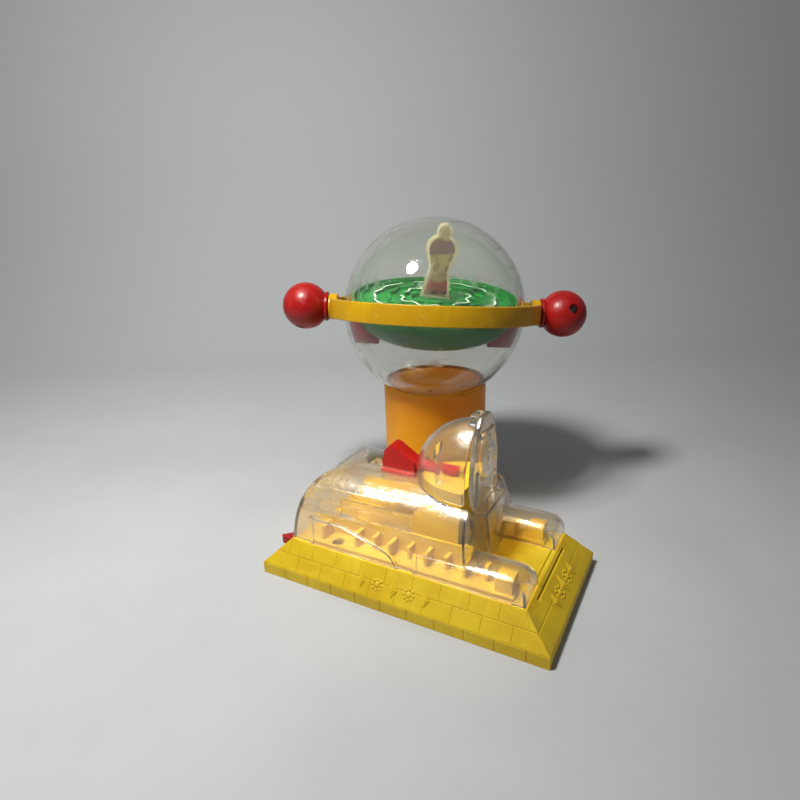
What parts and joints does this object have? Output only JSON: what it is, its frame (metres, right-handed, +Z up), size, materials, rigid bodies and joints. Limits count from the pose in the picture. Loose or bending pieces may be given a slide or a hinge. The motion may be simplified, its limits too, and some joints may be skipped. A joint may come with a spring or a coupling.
{
  "type": "ball maze toy",
  "caption": "Ball maze toy: clear sphinx shell with ball channels on a brick plinth, and a clear globe with a tilting maze tray and knobs on a column.",
  "frame": {"origin": "middle of the brick plinth's underside, on the surface that the toy stands on", "axes": "+Z up, +X along the plinth towards the sphinx's paws, +Y from the sphinx towards the column"},
  "size_m": [0.1838, 0.1735, 0.1718],
  "materials": {
    "yellow_plastic": "moulded, worn satin",
    "ring_plastic": "satin gloss",
    "orange_plastic": "translucent satin",
    "red_plastic": "polished",
    "green_plastic": "satin",
    "maze_plastic": "satin with white printed wall tops",
    "clear_plastic": "clear polystyrene, slightly yellowed",
    "clear_globe": "clear polystyrene, lightly scratched",
    "ivory_card": "ivory plate with a printed sticker",
    "screw_steel": "plated",
    "ball_steel": "polished"
  },
  "bodies": {
    "base": {"plinth_skirt": "yellow_plastic", "bottom_plate": "yellow_plastic", "bottom_screw_1": "screw_steel", "bottom_screw_2": "screw_steel", "bottom_screw_3": "screw_steel", "bottom_screw_4": "screw_steel", "plinth_deck": "yellow_plastic", "dock_tongue": "yellow_plastic", "flank_channel_near": "yellow_plastic", "flank_channel_far": "yellow_plastic", "channel_guard_near": "clear_plastic", "channel_guard_far": "clear_plastic", "ball_tower": "yellow_plastic", "sphinx_body": "clear_plastic", "sphinx_headdress": "clear_plastic", "sphinx_face": "clear_plastic", "column": "orange_plastic"},
    "slider": {"ball_slider": "red_plastic"},
    "trigger": {"ball_trigger": "red_plastic"},
    "seat": {"swivel_seat": "orange_plastic", "seat_screw": "screw_steel"},
    "globe": {"globe_upper": "clear_globe", "globe_lower": "clear_globe"},
    "ring": {"gimbal_ring": "ring_plastic"},
    "tray": {"knob_left": "red_plastic", "knob_right": "red_plastic", "cradle_bracket_left": "red_plastic", "cradle_bracket_right": "red_plastic", "tray_dish": "green_plastic", "maze_disc": "maze_plastic", "standee": "ivory_card"},
    "ball": {"maze_ball": "ball_steel"}
  },
  "joints": [
    {"name": "slider_slide", "type": "slide", "parent": "base", "child": "slider", "axis": [-1, 0, 0], "range_m": [0, 0.008]},
    {"name": "trigger_slide", "type": "slide", "parent": "base", "child": "trigger", "axis": [1, 0, 0], "range_m": [0, 0.005]},
    {"name": "seat_swivel", "type": "hinge", "parent": "base", "child": "seat", "pos_m": [-0.0296, 0.0722, 0.1202], "axis": [0, 0, 1], "continuous": true},
    {"name": "globe_tip", "type": "hinge", "parent": "seat", "child": "globe", "pos_m": [-0.0296, 0.0722, 0.1202], "axis": [-0.4555, 0.8902, 0], "range_deg": [-20, 20]},
    {"name": "ring_tilt", "type": "hinge", "parent": "globe", "child": "ring", "pos_m": [-0.0296, 0.0722, 0.1202], "axis": [0.8887, 0.4548, -0.0576], "range_deg": [-35, 45]},
    {"name": "tray_turn", "type": "hinge", "parent": "globe", "child": "tray", "pos_m": [-0.0296, 0.0722, 0.1202], "axis": [0.8887, 0.4548, -0.0576], "continuous": true},
    {"name": "ball_roll", "type": "hinge", "parent": "tray", "child": "ball", "pos_m": [-0.0296, 0.0722, 0.1202], "axis": [0.0947, -0.0592, 0.9937], "range_deg": [-72, 95]}
  ]
}
